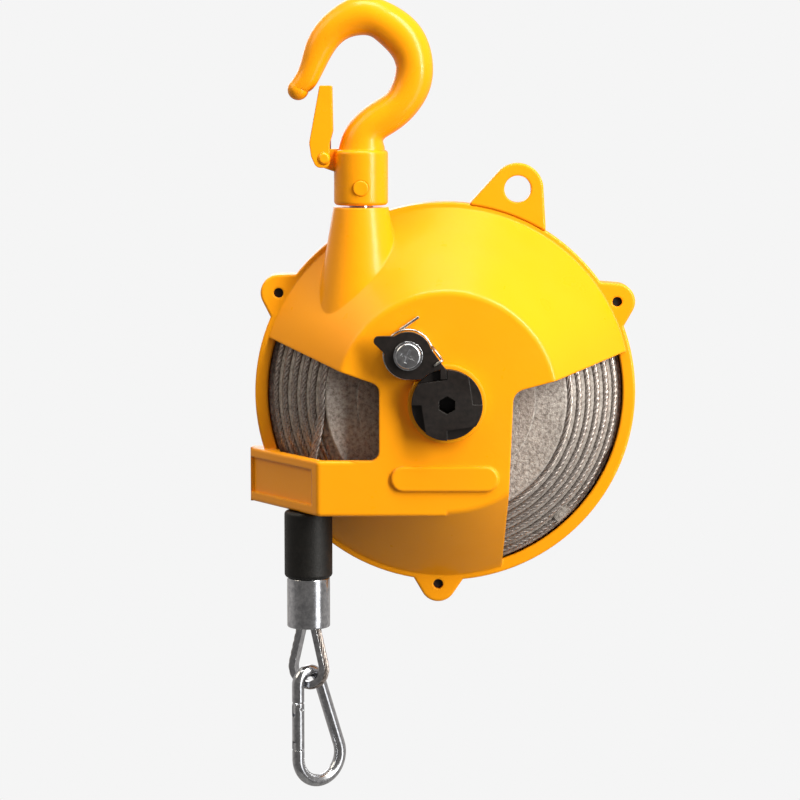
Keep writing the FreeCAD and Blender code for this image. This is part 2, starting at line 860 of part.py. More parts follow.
def shaft_circlip():
    d0 = shaft_back_d + 1.45
    body = rod(shaft_r + 2.4, d0, d0 + 1.2).cut(rod(shaft_r - 0.95, d0 - 1, d0 + 2))
    gap = Part.makeBox(6.0, 4.0, 12.0, at(-3.0, d0 + 2.0, -14.0))
    return body.cut(gap)


def pawl_lever():
    heel = (pawl_x, pawl_z)
    body = rod(pawl_r, pawl_back_d, pawl_front_d, *heel)
    tail = plate(
        [
            (pawl_x - 0.5, pawl_z - pawl_r + 0.02), (-0.3, pawl_tip_low, 0.6),
            (-0.3, pawl_tip_high - 1.0, 0.5),
            (-1.8, pawl_tip_high + 0.8, 1.5), (pawl_x + 7.0, pawl_z + 9.7),
        ],
        pawl_back_d, pawl_front_d,
    )
    sweep = rod(wheel_r + pawl_clear, pawl_back_d - 1, pawl_front_d + 1)
    claw = plate(
        [(-pawl_claw, 0), (0, 0), (0, 2.0 * wheel_r), (-pawl_claw, 2.0 * wheel_r)],
        pawl_back_d - 2, pawl_front_d + 2,
    )
    tail = tail.cut(sweep.cut(claw))
    thumb_end = (pawl_x - 15.0, pawl_z + 7.4)
    thumb = link(thumb_end, 2.4, (pawl_x - 4.0, pawl_z + 3.0), 7.0, pawl_back_d, pawl_front_d)
    return fused([body, tail, thumb]).cut(
        rod(pawl_pivot_r + running, pawl_back_d - 1, pawl_front_d + 1, *heel))


def pawl_washer():
    d0 = pawl_front_d + seat
    body = rod(pawl_washer_r, d0, d0 + 1.2, pawl_x, pawl_z)
    return body.cut(rod(case_screw_r + seat, d0 - 1, d0 + 2, pawl_x, pawl_z))


def pawl_screw():
    head_d = pawl_front_d + seat + 1.2
    shoulder = rod(pawl_pivot_r, pawl_back_d - seat, head_d - 1.2 - seat / 2.0, pawl_x, pawl_z)
    shank = rod(case_screw_r, case_depth - plate_thick + 1.0, head_d + 0.5, pawl_x, pawl_z)
    head = rod(pawl_head_r, head_d, head_d + 2.6, pawl_x, pawl_z)
    on_top = [e for e in head.Edges if abs(e.CenterOfMass.y + head_d + 2.6) < 0.01]
    rim = [e for e in on_top if e.Length > 6 * pawl_head_r]
    head = head.makeFillet(1.4, rim)
    body = fused([shoulder, shank, head])
    for k in range(2):
        slot = Part.makeBox(7.0, 2.0, 1.2, V(-3.5, -1.0, -0.6))
        slot.rotate(V(0, 0, 0), V(0, 1, 0), 90.0 * k + 20.0)
        slot.translate(at(pawl_x, head_d + 2.2, pawl_z))
        body = body.cut(slot)
    return body


def coil(r, wire, z0, turns, pitch, place):
    """A round-wire coil about the local z axis, moved by place."""
    helix = Part.makeHelix(pitch, pitch * turns, r)
    ring = Part.Wire(Part.Circle(V(r, 0, 0), V(0, 1, 0), wire).toShape())
    body = Part.Wire(helix).makePipeShell([ring], True, True)
    body.translate(V(0, 0, z0))
    body.Placement = place.multiply(body.Placement)
    return body


def bar(a, b, r):
    return Part.makeCylinder(r, (b - a).Length, a, b - a)


def pawl_spring():
    """The torsion spring behind the pawl: a coil round its boss, one leg on the case, one on the pawl."""
    first_d = case_depth + pawl_wire_r + 0.1
    pitch = 2.0 * pawl_wire_r + 0.15
    turns = 2.0
    face_front = FreeCAD.Placement(at(pawl_x, first_d, pawl_z), FreeCAD.Rotation(V(1, 0, 0), 90))
    body = coil(pawl_coil_r, pawl_wire_r, 0, turns, pitch, face_front)
    end_d = first_d + pitch * turns
    leg_a = at(pawl_x + 5.5, first_d + 1.0, pawl_z + 19.0)
    top = at(pawl_x - 4.0, first_d + 0.4, pawl_z + 12.4)
    return body.fuse(bar(top, leg_a, pawl_wire_r)).removeSplitter()


# ---- top hook -----------------------------------------------------------------------------------
hook_sections = (
    # centre x, centre z, width, thickness, heading in degrees, all from the bowl's centre
    (-31.8, -6.2, 11.0, 11.0, 70.0),
    (-27.0, 0.4, 12.0, 13.0, 66.0),
    (-22.6, 11.4, 14.2, 14.5, 62.0),
    (-17.4, 20.6, 15.8, 16.0, 48.0),
    (-9.2, 27.6, 17.6, 17.5, 26.0),
    (1.4, 30.8, 20.0, 19.0, 5.0),
    (14.6, 26.0, 20.4, 20.0, -35.0),
    (24.6, 15.6, 20.4, 20.0, -60.0),
    (27.6, 3.2, 19.4, 20.0, -90.0),
    (25.0, -7.6, 19.2, 20.0, -110.0),
    (17.6, -17.2, 18.6, 20.0, -138.0),
    (8.0, -23.6, 19.0, 20.0, -140.0),
    (1.6, -31.0, 21.0, 20.5, -108.0),
    (0.2, -38.5, 24.0, 22.0, -92.0),
)


def hook_wire(x, z, width, thickness, heading):
    """A closed section of four arcs, always started on the same side so that sections join cleanly."""
    along = V(math.cos(math.radians(heading)), 0, math.sin(math.radians(heading)))
    side = V(0, 1, 0).cross(along)
    across = V(0, 1, 0)
    centre = at(hook_x + x, hook_d, hook_bowl_z + z)
    points = []
    for k in range(12):
        a = 2.0 * math.pi * k / 12
        points.append(centre + side * (math.cos(a) * width / 2.0) + across * (math.sin(a) * thickness / 2.0))
    curve = Part.BSplineCurve()
    curve.interpolate(Points=points, PeriodicFlag=True)
    return Part.Wire(curve.toShape())


def hook_lug():
    r = 4.8
    lug = Part.Face(belt(
        (latch_x, latch_z), r, (latch_x + 12.0, latch_z - 2.0), r + 2.0,
        lambda x, z: V(x, -hook_d - latch_lug_thick / 2.0, z),
    )).extrude(V(0, latch_lug_thick, 0))
    return lug


def top_hook():
    rings = [hook_wire(*s) for s in hook_sections]
    bend = Part.makeLoft(rings, True, False)
    tip = Part.makeSphere(5.5, at(hook_x - 32.4, hook_d, hook_bowl_z - 7.0))
    block = post(block_r, column_top_z + block_gap, block_top_z, hook_x, hook_d)
    ends = [e for e in block.Edges if e.Length > 6 * block_r]
    block = block.makeFillet(2.0, ends)
    body = fused([block, bend, tip, hook_lug()])
    holes = [
        post(stud_r, column_top_z - 1, column_top_z + block_gap + stud_reach, hook_x, hook_d),
        Part.makeCylinder(hook_pin_r, 60, at(hook_x, hook_d + 30, column_top_z + hook_pin_up), V(0, 1, 0)),
        Part.makeCylinder(latch_rivet_r, 60, at(latch_x, hook_d + 30, latch_z), V(0, 1, 0)),
    ]
    for h in holes:
        body = body.cut(h)
    return body


def hook_pin():
    half = block_r + 0.6
    z = column_top_z + hook_pin_up
    pin = Part.makeCylinder(hook_pin_r, 2 * half, at(hook_x, hook_d + half, z), V(0, 1, 0))
    ends = [e for e in pin.Edges if e.Length > 6 * hook_pin_r]
    return pin.makeFillet(0.5, ends)


def swivel_stud():
    under = column_top_z - column_wall - washer_thick
    top = column_top_z + block_gap + stud_reach
    head = post(stud_head_r, under - stud_head_high, under, hook_x, hook_d)
    shank = post(stud_r, under - 1, top, hook_x, hook_d)
    cross = Part.makeCylinder(hook_pin_r, 60, at(hook_x, hook_d + 30, column_top_z + hook_pin_up), V(0, 1, 0))
    return fused([head, shank]).cut(cross)


def thrust_washer():
    top = column_top_z - column_wall
    body = post(stud_head_r + 0.5, top - washer_thick, top, hook_x, hook_d)
    return body.cut(post(stud_r + running, top - 5, top + 5, hook_x, hook_d))


def hook_latch():
    """A pressed channel: two cheeks round the lug and a back that shuts the hook's mouth."""
    half = latch_wide / 2.0

    def profile(points, y0, y1):
        face = Part.Face(outline(points, lambda x, z: V(latch_x + x, -hook_d + y0, latch_z + z)))
        return face.extrude(V(0, y1 - y0, 0))

    body = profile(
        [
            (-6.6, 1.0, 4.0), (-7.6, 8.0, 6.0), (-2.2, latch_high, 0.8), (4.2, latch_high, 0.8),
            (4.6, 14.0, 3.0), (3.0, 8.0, 3.0), (3.0, -4.8, 3.0), (-4.0, -4.8, 3.5),
        ],
        -half, half,
    )
    channel = profile(
        [
            (-4.6, -9.0), (-5.8, 8.0), (-0.4, latch_high - latch_sheet),
            (12.0, latch_high - latch_sheet), (12.0, -9.0),
        ],
        -half + latch_sheet, half - latch_sheet,
    )
    body = body.cut(channel)
    return body.cut(Part.makeCylinder(
        latch_rivet_r + running, 60, at(latch_x, hook_d + 30, latch_z), V(0, 1, 0)))


def latch_rivet():
    half = latch_wide / 2.0
    y0 = -hook_d - half - 0.05
    shank = Part.makeCylinder(latch_rivet_r, latch_wide + 0.1, V(latch_x, y0, latch_z), V(0, 1, 0))
    heads = [
        Part.makeCone(2.2, 3.4, 1.2, V(latch_x, y0 - 1.2, latch_z), V(0, 1, 0)),
        Part.makeCone(3.4, 2.2, 1.2, V(latch_x, y0 + latch_wide + 0.1, latch_z), V(0, 1, 0)),
    ]
    return fused([shank] + heads)


def latch_spring():
    """A torsion spring round the rivet: one loop and a straight leg up the inside of the latch."""
    y = -hook_d + latch_lug_thick / 2.0 + latch_wire_r + 0.3

    def on_loop(angle):
        x, z = polar(latch_loop_r, angle)
        return V(latch_x + x, y, latch_z + z)

    foot = on_loop(0)
    leg = Part.LineSegment(foot + V(0, 0, latch_leg), foot)
    first = Part.Arc(foot, on_loop(-60), on_loop(-120))
    second = Part.Arc(on_loop(-120), on_loop(-200), on_loop(-290))
    return tube(Part.Wire([leg.toShape(), first.toShape(), second.toShape()]), latch_wire_r)


# ---- rope and load end --------------------------------------------------------------------------
def cable_run():
    """The turn in the smallest groove and the run from the drum down through the rope guide."""
    centre = at(0, first_turn_d, 0)

    def rim(a):
        x, z = polar(first_turn_r, a)
        return at(x, first_turn_d, z)

    leave = rim(180.0)
    knee = at(-first_turn_r - 1.0, first_turn_d, -16.0)
    over_guide = at(rope_x, rope_d, guide_foot_z + guide_floor + 7.0)
    foot = at(rope_x, rope_d, guide_foot_z)
    run = route([leave, knee, over_guide, foot])
    wrap = [
        Part.Arc(rim(-140.0), rim(-60.0), rim(20.0)).toShape(),
        Part.Arc(rim(20.0), rim(100.0), rim(180.0)).toShape(),
    ]
    section = Part.Wire(Part.Circle(rim(-140.0), wrap[0].tangentAt(wrap[0].FirstParameter), rope_r).toShape())
    turn = Part.Wire(wrap).makePipeShell([section], True, True)
    return turn.fuse(tube(run, rope_r)).removeSplitter()


def cable_tail():
    return post(rope_r, bumper_foot_z - 4.0, guide_foot_z, rope_x, rope_d)


def bumper():
    body = post(bumper_r, bumper_foot_z, bumper_top_z, rope_x, rope_d)
    ends = [e for e in body.Edges if e.Length > 6 * bumper_r]
    body = body.makeFillet(2.0, ends)
    return body.cut(post(rope_r + seat, bumper_foot_z - 1, bumper_top_z + 1, rope_x, rope_d))


def cable_sleeve():
    body = post(sleeve_r, sleeve_foot_z, bumper_foot_z, rope_x, rope_d)
    ends = [e for e in body.Edges if e.Length > 6 * sleeve_r]
    body = body.makeFillet(0.8, ends)
    hollow = post(sleeve_r - sleeve_wall, sleeve_foot_z - 1, bumper_foot_z - 3.0, rope_x, rope_d)
    return body.cut(hollow).cut(post(rope_r + seat, sleeve_foot_z, bumper_foot_z + 1, rope_x, rope_d))


def on_rope(shape, turn):
    """Moves a load-end shape from the drum's axis line to the rope's and turns it about the rope."""
    moved = shape.copy()
    moved.rotate(V(0, 0, 0), V(0, 0, 1), turn)
    moved.translate(at(rope_x, rope_d, 0))
    return moved


def cable_ferrule():
    z0 = sleeve_foot_z + 7.0
    z1 = bumper_foot_z - 4.0
    pressed = Part.Face(belt((-eye_leg, 0), 3.4, (eye_leg, 0), 3.4, lambda x, d: at(x, d, z0)))
    return on_rope(pressed.extrude(V(0, 0, z1 - z0)), eye_turn)


def eye_belt(r, place):
    return belt((0, eye_centre_z), r, (0, sleeve_foot_z + 5.0), eye_leg + r - eye_r, place)


def eye_path():
    """The loop's centre line: down one leg, round the thimble and up the other."""
    loop = eye_belt(eye_r, lambda x, z: V(x, 0, z))
    return Part.Wire(Part.__sortEdges__([loop.Edges[2], loop.Edges[3], loop.Edges[0]]))


def cable_eye():
    return on_rope(tube(eye_path(), rope_r), eye_turn)


def thimble():
    half = thimble_wide / 2.0

    def solid(r):
        face = Part.Face(eye_belt(r, lambda x, z: V(x, half, z)))
        return face.extrude(V(0, -thimble_wide, 0))

    body = solid(eye_r + 0.6).cut(solid(thimble_hole_r))
    top = Part.makeBox(60, 60, 60, V(-30, -30, sleeve_foot_z - 0.6))
    return on_rope(body.cut(top).cut(tube(eye_path(), rope_r + running)), eye_turn)


def snap_belt(place):
    shift = snap_low_r - snap_top_r
    return belt((0, snap_top_z), snap_top_r, (shift, snap_low_z), snap_low_r, place)


def snap_loop():
    loop = snap_belt(lambda x, z: V(x, 0, z))
    start = V(-snap_top_r, 0, gate_low_z)
    stop = V(-snap_top_r, 0, gate_top_z)
    top_left = V(-snap_top_r, 0, snap_top_z)
    low_left = V(-snap_top_r, 0, snap_low_z)
    arcs = [e for e in loop.Edges if e.Curve.TypeId == "Part::GeomCircle"]
    lines = [e for e in loop.Edges if e.Curve.TypeId != "Part::GeomCircle"]
    spine = max(lines, key=lambda e: e.CenterOfMass.x)
    edges = [
        Part.LineSegment(start, low_left).toShape(), Part.LineSegment(top_left, stop).toShape(), spine,
    ] + arcs
    return Part.Wire(Part.__sortEdges__(edges)[0:5])


def snap_hook_body():
    body = tube(snap_loop(), snap_wire_r)
    tang = Part.makeBox(
        2 * snap_wire_r - 1.2, gate_tang, gate_tang_long + 3.0,
        V(-snap_top_r - snap_wire_r + 0.6, -gate_tang / 2.0, gate_top_z - gate_tang_long),
    )
    nose = Part.makeBox(
        2 * snap_wire_r - 1.2, gate_tang, 5.5,
        V(-snap_top_r - snap_wire_r + 0.6, -gate_tang / 2.0, gate_low_z - 1.5),
    )
    body = fused([body, tang, nose])
    pin = Part.makeCylinder(gate_rivet_r, 20, V(-snap_top_r, -10, gate_top_z - gate_pivot_back), V(0, 1, 0))
    return on_rope(body.cut(pin), snap_turn)


def snap_gate():
    top = gate_top_z - 0.5
    low = gate_low_z + 0.4
    body = Part.makeCylinder(snap_wire_r, top - low, V(-snap_top_r, 0, low))
    fork = Part.makeBox(20, gate_tang + 0.4, gate_tang_long + 1.2,
                        V(-snap_top_r - 10, -(gate_tang + 0.4) / 2.0, top - gate_tang_long - 1.0))
    notch = Part.makeBox(20, gate_tang + 0.6, 4.6,
                         V(-snap_top_r - 10, -(gate_tang + 0.6) / 2.0, low - 0.2))
    pivot_z = gate_top_z - gate_pivot_back
    pin = Part.makeCylinder(gate_rivet_r + running, 20, V(-snap_top_r, -10, pivot_z), V(0, 1, 0))
    turning_r = gate_pivot_back - gate_end_gap
    shoulder = Part.makeBox(20, 20, 10, V(-snap_top_r - 10, -10, pivot_z))
    shoulder = shoulder.cut(Part.makeCylinder(turning_r, 30, V(-snap_top_r, -15, pivot_z), V(0, 1, 0)))
    return on_rope(body.cut(shoulder).cut(fork).cut(notch).cut(pin), snap_turn)


def gate_rivet():
    z = gate_top_z - gate_pivot_back
    half = snap_wire_r - 0.2
    return on_rope(Part.makeCylinder(gate_rivet_r, 2 * half, V(-snap_top_r, -half, z), V(0, 1, 0)), snap_turn)


def main():
    os.makedirs("parts", exist_ok=True)
    drum = cover_screw_holes(taper_drum().cut(cable_anchor()).cut(spring_pin()))
    bushes = {
        "front_bush": bush(case_depth - plate_thick, boss_face_d - seat, shaft_r + running, bush_r),
        "rear_bush": bush(-back_depth - back_boss_high + 0.2, -back_depth + back_wall,
                          shaft_r + running, bush_r),
        "drum_bearing_front": bush(drum_front_d - drum_face_step - bearing_long, drum_front_d,
                                   shaft_r + running, bearing_r),
        "drum_bearing_rear": bush(drum_back_d, drum_rim_back + 5.0, shaft_r + running, bearing_r),
    }
    nodes = {
        "front_case": front_case(),
        "safety_ear": safety_ear(),
        "front_bosses": front_bosses(),
        "back_cover": back_cover(),
        "case_screws": case_screws(),
        "rope_guide": rope_guide(),
        "taper_drum": drum,
        "wound_cable": wound_cable(),
        "cable_anchor": cable_anchor(),
        "spring_cover": spring_cover(),
        "spring_cover_screws": spring_cover_screws(),
        "power_spring": power_spring(),
        "spring_pin": spring_pin(),
        "main_shaft": main_shaft(),
        "ratchet_wheel": ratchet_wheel(),
        "shaft_circlip": shaft_circlip(),
        "pawl_lever": pawl_lever(),
        "pawl_washer": pawl_washer(),
        "pawl_screw": pawl_screw(),
        "pawl_spring": pawl_spring(),
        "top_hook": top_hook(),
        "hook_pin": hook_pin(),
        "swivel_stud": swivel_stud(),
        "thrust_washer": thrust_washer(),
        "hook_latch": hook_latch(),
        "latch_rivet": latch_rivet(),
        "latch_spring": latch_spring(),
        "cable_run": cable_run(),
        "cable_tail": cable_tail(),
        "bumper": bumper(),
        "cable_sleeve": cable_sleeve(),
        "cable_ferrule": cable_ferrule(),
        "cable_eye": cable_eye(),
        "cable_thimble": thimble(),
        "snap_hook_body": snap_hook_body(),
        "snap_gate": snap_gate(),
        "gate_rivet": gate_rivet(),
    }
    nodes.update(bushes)
    for name, shape in nodes.items():
        export(name, shape)


main()
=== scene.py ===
import json
import math

import bpy
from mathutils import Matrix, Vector


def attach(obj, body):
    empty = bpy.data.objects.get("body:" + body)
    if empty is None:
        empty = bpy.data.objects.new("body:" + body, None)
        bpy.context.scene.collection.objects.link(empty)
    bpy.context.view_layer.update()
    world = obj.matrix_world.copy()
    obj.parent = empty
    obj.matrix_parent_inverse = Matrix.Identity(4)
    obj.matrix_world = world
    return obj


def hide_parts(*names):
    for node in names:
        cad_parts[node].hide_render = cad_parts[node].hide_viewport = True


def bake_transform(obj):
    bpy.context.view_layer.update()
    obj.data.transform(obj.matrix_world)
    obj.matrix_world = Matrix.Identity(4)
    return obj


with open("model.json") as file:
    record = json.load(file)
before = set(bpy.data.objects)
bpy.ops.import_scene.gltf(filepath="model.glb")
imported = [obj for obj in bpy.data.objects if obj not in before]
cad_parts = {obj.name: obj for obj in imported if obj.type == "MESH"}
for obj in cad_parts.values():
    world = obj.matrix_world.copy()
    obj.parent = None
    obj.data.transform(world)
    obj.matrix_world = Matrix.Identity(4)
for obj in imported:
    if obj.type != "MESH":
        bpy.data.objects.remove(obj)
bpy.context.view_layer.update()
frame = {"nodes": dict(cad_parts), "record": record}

# Sizes are in millimetres until they become mesh points. at() takes a place seen from the drum's axis:
# x to the right, d towards the front from the plane where the two casings meet, z up.
MM = 0.001
DRUM_X = 44.0
SPLIT_D = 18.0
DRUM_Z = -165.5

# The rope and its path
ROPE_R = 2.0
ROPE_PITCH = 26.0            # along the rope for one turn of a strand
ROPE_STRANDS = 6
ROPE_STEP = 1.0              # between the mesh rings of the free rope
ROPE_X = -71.5
ROPE_D = 31.0
STRAND_R = 0.347             # a strand's radius against the rope's
STRAND_REACH = 1.01          # how far the strands' crests reach against the rope's radius
CORE_SWELL = 1.2             # the core's radius against a strand's
TURN_COUNT = 6
FIRST_TURN_R = 63.6
TURN_STEP_R = 5.0
FIRST_TURN_D = 37.0
TURN_STEP_D = 5.8
FIRST_TURN_FROM = -140.0     # degrees round the smallest turn, up to where the rope leaves it
FIRST_TURN_TO = 180.0
DRUM_ROPE_R = 0.97 * ROPE_R  # slightly slimmer, so that a turn doesn't cross the rope that leaves the drum
DRUM_ROPE_PITCH = 18.0
DRUM_ROPE_STEP = 1.8
DRUM_STRAND_R = 0.44
GUIDE_TOP_Z = -53.5
GUIDE_FOOT_Z = -58.5
GUIDE_LEAD = 2.0             # above the guide, where the rope hangs straight
GUIDE_RUN = 7                # and how far it then runs down
BUMPER_FOOT_Z = -94.0
TAIL_OVERRUN = 3.0           # into the sleeve
TAIL_STEPS = 38
SLEEVE_FOOT_Z = -120.2
EYE_RISE = 5.0               # into the sleeve
EYE_TURN = -26.0
EYE_Z = -142.1
EYE_R = 9.8
EYE_LEG = 3.4
EYE_PITCH = 24.0
EYE_LEG_STEPS = 24
EYE_ARC_STEPS = 36
SPRING_WIRE_R = 0.7
SPRING_WIRE_SIDES = 10

# Stage, light and camera, in metres
PAINT_EDGE = 0.0016          # how wide the enamel rounds an edge of the case
HOOK_EDGE = 0.0012
STEEL_EDGE = 0.0005
FLOOR_Z = -1.95              # below the snap hook at full pull
FLOOR_R = 1.6
FLOOR_SIDES = 120
ROOM_NEAR = 0.17             # how bright the room is behind the camera
ROOM_FAR = 0.50              # and behind the object
ROOM_LOW = 0.8               # how bright the room is below, against above
CAMERA_AWAY = 1.5
CAMERA_TILT = 6.4
CAMERA_LENS = 127.6
CAMERA_SENSOR = 36.0

scene = bpy.context.scene


def at(x, d, z):
    return Vector(((x + DRUM_X) * MM, (SPLIT_D - d) * MM, (z + DRUM_Z) * MM))


def srgb(r, g, b):
    """A colour written as 0 to 255 screen values, as the linear colour that nodes take."""
    def line(v):
        v = v / 255.0
        return v / 12.92 if v <= 0.04045 else ((v + 0.055) / 1.055) ** 2.4
    return (line(r), line(g), line(b), 1.0)


PALE = srgb(245, 245, 245)


# ---- materials ----------------------------------------------------------------------------------
class Nodes:
    """A material's or a world's node tree with short calls for the nodes used here."""

    def __init__(self, owner, output):
        owner.use_nodes = True
        self.owner = owner
        self.tree = owner.node_tree
        self.tree.nodes.clear()
        self.out = self.new(output)
        self.where = self.new("ShaderNodeTexCoord").outputs

    def new(self, kind, **values):
        node = self.tree.nodes.new(kind)
        for key, value in values.items():
            setattr(node, key, value)
        return node

    def give(self, socket, value):
        """Set the socket where the value is a constant, and join it to the value's node elsewhere."""
        if isinstance(value, (float, tuple)):
            socket.default_value = value
        else:
            self.tree.links.new(value, socket)

    def noise(self, scale, detail=3.0, rough=0.5):
        node = self.new("ShaderNodeTexNoise")
        self.give(node.inputs["Scale"], scale)
        self.give(node.inputs["Detail"], detail)
        self.give(node.inputs["Roughness"], rough)
        self.give(node.inputs["Vector"], self.where["Object"])
        return node.outputs["Fac"]

    def ramp(self, value, stops):
        node = self.new("ShaderNodeValToRGB")
        while len(node.color_ramp.elements) < len(stops):
            node.color_ramp.elements.new(0.5)
        for element, (where, colour) in zip(node.color_ramp.elements, stops):
            element.position = where
            element.color = colour
        self.give(node.inputs["Fac"], value)
        return node.outputs["Color"]

    def span(self, value, low, high, to_low, to_high, **values):
        node = self.new("ShaderNodeMapRange", **values)
        for key, end in (("From Min", low), ("From Max", high), ("To Min", to_low), ("To Max", to_high)):
            self.give(node.inputs[key], end)
        self.give(node.inputs["Value"], value)
        return node.outputs["Result"]

    def both(self, kind, a, b):
        node = self.new("ShaderNodeMath", operation=kind)
        self.give(node.inputs[0], a)
        self.give(node.inputs[1], b)
        return node.outputs[0]

    def mix(self, factor, a, b, kind="MIX"):
        node = self.new("ShaderNodeMix", data_type="RGBA", blend_type=kind)
        for socket, value in ((node.inputs[0], factor), (node.inputs[6], a), (node.inputs[7], b)):
            self.give(socket, value)
        return node.outputs[2]

    def mix_shaders(self, factor, a, b):
        node = self.new("ShaderNodeMixShader")
        for socket, value in zip(node.inputs, (factor, a, b)):
            self.give(socket, value)
        self.give(self.out.inputs["Surface"], node.outputs[0])

    def bump(self, height, distance, strength, before=None):
        node = self.new("ShaderNodeBump")
        self.give(node.inputs["Strength"], strength)
        self.give(node.inputs["Distance"], distance)
        self.give(node.inputs["Height"], height)
        if before is not None:
            self.give(node.inputs["Normal"], before)
        return node.outputs["Normal"]

    def rounded(self, radius):
        """A normal that turns smoothly over each edge, as cast and forged edges do."""
        node = self.new("ShaderNodeBevel", samples=6)
        self.give(node.inputs["Radius"], radius)
        return node.outputs["Normal"]

    def finish(self, colour, roughness, normal, **fixed):
        shader = self.new("ShaderNodeBsdfPrincipled")
        for key, value in fixed.items():
            self.give(shader.inputs[key.replace("_", " ")], value)
        self.give(shader.inputs["Base Color"], colour)
        self.give(shader.inputs["Roughness"], roughness)
        self.give(shader.inputs["Normal"], normal)
        self.give(self.out.inputs["Surface"], shader.outputs["BSDF"])
        return self.owner


def material(name):
    return Nodes(bpy.data.materials.new(name), "ShaderNodeOutputMaterial")


def enamel(name, colour, deep, gloss, grain, edge):
    """Glossy enamel over a casting: broad tone changes, orange peel and fine casting grain."""
    n = material(name)
    tone = n.ramp(n.noise(14.0, 2.0), [(0.3, deep), (0.7, colour)])
    specks = n.span(n.noise(900.0, 2.0), 0.62, 0.78, 0.0, 0.35)
    tone = n.mix(specks, tone, deep)
    roughness = n.span(n.noise(60.0, 4.0), 0.3, 0.7, gloss - 0.05, gloss + 0.07)
    peel = n.bump(n.noise(170.0, 2.0), 0.0004, 0.22, n.rounded(edge))
    skin = n.bump(n.noise(700.0, 3.0), 0.0002, grain, peel)
    return n.finish(tone, roughness, skin, Coat_Weight=0.12, Coat_Roughness=0.12, Specular_IOR_Level=0.20)


def steel(name, light, dark, rough, grain, metallic=1.0, scale=400.0, **fixed):
    """Bare or plated steel with faint tool marks and handling scratches."""
    n = material(name)
    marks = n.noise(scale, 5.0, 0.6)
    tone = n.ramp(marks, [(0.3, dark), (0.65, light)])
    blotch = n.span(n.noise(55.0, 3.0), 0.3, 0.7, rough - 0.06, rough + 0.10)
    normal = n.bump(marks, 0.0002, grain, n.rounded(STEEL_EDGE))
    return n.finish(tone, blotch, normal, Metallic=metallic, **fixed)


def sand_cast(name, light, dark, metallic, grain):
    """Unpainted sand-cast alloy: a coarse bright and dark speckle with real roughness."""
    n = material(name)
    coarse = n.noise(520.0, 4.0, 0.7)
    fine = n.noise(1500.0, 3.0, 0.6)
    tone = n.ramp(coarse, [(0.32, dark), (0.56, light), (0.74, srgb(205, 200, 196))])
    shade = n.ramp(n.noise(22.0, 3.0), [(0.25, (0.72, 0.70, 0.68, 1.0)), (0.7, (1.0, 1.0, 1.0, 1.0))])
    tone = n.mix(1.0, tone, shade, "MULTIPLY")
    roughness = n.span(fine, 0.3, 0.7, 0.42, 0.68)
    normal = n.bump(fine, 0.0005, grain, n.bump(coarse, 0.0012, grain))
    return n.finish(tone, roughness, normal, Metallic=metallic)


def plastic(name, colour, deep, rough, scale, grain, **fixed):
    """Moulded nylon or rubber with a fine, slightly uneven skin."""
    n = material(name)
    tone = n.ramp(n.noise(scale, 3.0), [(0.35, deep), (0.7, colour)])
    roughness = n.span(n.noise(scale * 3.0, 2.0), 0.3, 0.7, rough - 0.06, rough + 0.08)
    normal = n.bump(n.noise(scale * 4.0, 3.0), 0.0003, grain)
    return n.finish(tone, roughness, normal, **fixed)


YELLOW = (0.95, 0.350, 0.004, 1.0)
materials = {
    "case_paint": enamel("case_paint", YELLOW, (0.92, 0.325, 0.003, 1.0), 0.32, 0.18, PAINT_EDGE),
    "hook_paint": enamel("hook_paint", YELLOW, (0.90, 0.315, 0.003, 1.0), 0.26, 0.10, HOOK_EDGE),
    "zinc_steel": steel("zinc_steel", srgb(215, 216, 220), srgb(168, 170, 175), 0.17, 0.16),
    "black_steel": steel("black_steel", srgb(33, 27, 25), srgb(18, 15, 14), 0.40, 0.30, 0.0,
                         Specular_IOR_Level=0.35),
    "cast_alloy": sand_cast("cast_alloy", srgb(186, 178, 172), srgb(122, 114, 108), 0.25, 0.5),
    "wire_rope": steel("wire_rope", srgb(200, 190, 184), srgb(112, 102, 96), 0.34, 0.25, 0.85, 900.0),
    "alloy_ferrule": steel("alloy_ferrule", srgb(208, 210, 214), srgb(150, 152, 156), 0.30, 0.25),
    "spring_steel": steel("spring_steel", srgb(120, 122, 128), srgb(70, 72, 80), 0.30, 0.2),
    "spring_wire": steel("spring_wire", srgb(215, 213, 208), srgb(150, 146, 140), 0.25, 0.15),
    "bronze": steel("bronze", srgb(196, 142, 70), srgb(140, 96, 44), 0.35, 0.2),
    "nylon": plastic("nylon", srgb(226, 222, 208), srgb(206, 200, 184), 0.45, 120.0, 0.2),
    "rubber": plastic("rubber", srgb(25, 23, 21), srgb(16, 15, 14), 0.50, 260.0, 0.30,
                      Specular_IOR_Level=0.35),
}

record_slots = {part["node"]: part["material_slot"] for part in frame["record"]["subparts"]}
for name, obj in frame["nodes"].items():
    for k in range(len(obj.data.materials)):
        obj.data.materials[k] = materials[record_slots[name]]
    if len(obj.data.materials) == 0:
        obj.data.materials.append(materials[record_slots[name]])


# ---- rope ---------------------------------------------------------------------------------------
def new_piece(name, verts, faces, slot, body, *replaced):
    """A smooth piece in a record slot's material, on a body and in place of the nodes it replaces."""
    mesh = bpy.data.meshes.new(name)
    mesh.from_pydata([tuple(v) for v in verts], [], faces)
    mesh.validate()
    mesh.update()
    obj = bpy.data.objects.new(name, mesh)
    scene.collection.objects.link(obj)
    mesh.materials.append(materials[slot])
    for face in mesh.polygons:
        face.use_smooth = True
    if body:
        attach(obj, body)
    if replaced:
        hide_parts(*replaced)
    return obj


